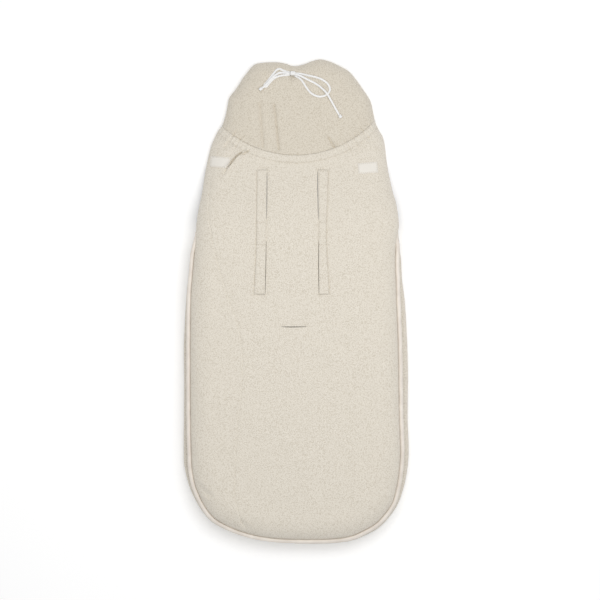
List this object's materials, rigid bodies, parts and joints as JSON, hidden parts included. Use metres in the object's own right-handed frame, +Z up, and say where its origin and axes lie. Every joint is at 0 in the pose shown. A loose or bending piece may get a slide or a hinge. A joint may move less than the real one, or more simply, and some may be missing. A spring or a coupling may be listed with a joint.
{
  "type": "stroller footmuff",
  "caption": "Padded fleece footmuff for a pushchair, with a gathered hood, a drawstring bow, slots for the harness, edge piping and side zips that let the back lift off the front cover.",
  "frame": {"origin": "on the table under the middle of the footmuff as it lies face down, halfway along its length", "axes": "+Y towards the hood, -Y towards the foot, +Z up out of the back, +X to the right in the picture"},
  "size_m": [0.447, 1, 0.0785],
  "materials": {
    "fleece": "curly teddy fleece",
    "lining": "brushed cotton",
    "wadding": "polyester wadding",
    "piping": "satin bias over a cord",
    "tape": "woven tape",
    "coil": "dyed nylon coil",
    "metal": "nickel plate",
    "fastening": "hook and loop tape",
    "elastic": "knitted elastic",
    "cord": "braided cord"
  },
  "bodies": {
    "front_cover": {"front_outer_fabric": "fleece", "front_wadding": "wadding", "front_lining": "lining", "front_top_binding": "tape", "foot_gusset": "fleece", "left_front_zip_tape": "tape", "right_front_zip_tape": "tape", "left_front_zip_coil": "coil", "right_front_zip_coil": "coil", "left_front_zip_top_stop": "metal", "right_front_zip_top_stop": "metal", "left_zip_bottom_stop": "metal", "right_zip_bottom_stop": "metal"},
    "back": {"back_outer_fabric": "fleece", "back_wadding": "wadding", "back_lining": "lining", "edge_piping": "piping", "left_shoulder_tape": "tape", "right_shoulder_tape": "tape", "neck_band": "fleece", "neck_elastic": "elastic", "left_slot_welt": "fleece", "right_slot_welt": "fleece", "left_slot_loop_pad": "fastening", "right_slot_loop_pad": "fastening", "left_slot_hook_pad": "fastening", "right_slot_hook_pad": "fastening", "left_shoulder_patch": "fastening", "right_shoulder_patch": "fastening", "left_back_zip_tape": "tape", "right_back_zip_tape": "tape", "left_back_zip_coil": "coil", "right_back_zip_coil": "coil", "left_back_zip_top_stop": "metal", "right_back_zip_top_stop": "metal"},
    "hood": {"hood_outer_fabric": "fleece", "hood_lining": "lining", "hood_hem_tape": "tape", "left_drawstring_run": "cord", "right_drawstring_run": "cord", "bow_knot": "cord", "left_bow_loop": "cord", "right_bow_loop": "cord", "left_bow_tail": "cord", "right_bow_tail": "cord", "left_cord_end_knot": "cord", "right_cord_end_knot": "cord"},
    "left_slider": {"left_zip_slider": "metal"},
    "right_slider": {"right_zip_slider": "metal"},
    "left_pull": {"left_zip_pull": "metal"},
    "right_pull": {"right_zip_pull": "metal"}
  },
  "joints": [
    {"name": "back_lift", "type": "hinge", "parent": "front_cover", "child": "back", "pos_m": [0, -0.501, 0.038], "axis": [1, 0, 0], "range_deg": [0, 120]},
    {"name": "hood_fold", "type": "hinge", "parent": "back", "child": "hood", "pos_m": [0, 0.3014, 0.0445], "axis": [1, 0, 0], "range_deg": [0, 150]},
    {"name": "left_zip_slide", "type": "slide", "parent": "front_cover", "child": "left_slider", "axis": [0, -1, 0], "range_m": [0, 0.443]},
    {"name": "right_zip_slide", "type": "slide", "parent": "front_cover", "child": "right_slider", "axis": [0, -1, 0], "range_m": [0, 0.443]},
    {"name": "left_pull_swing", "type": "hinge", "parent": "left_slider", "child": "left_pull", "pos_m": [-0.2096, 0.1181, 0.035], "axis": [0, 0, -1], "range_deg": [0, 150]},
    {"name": "right_pull_swing", "type": "hinge", "parent": "right_slider", "child": "right_pull", "pos_m": [0.2096, 0.1181, 0.035], "axis": [0, 0, 1], "range_deg": [0, 150]}
  ]
}
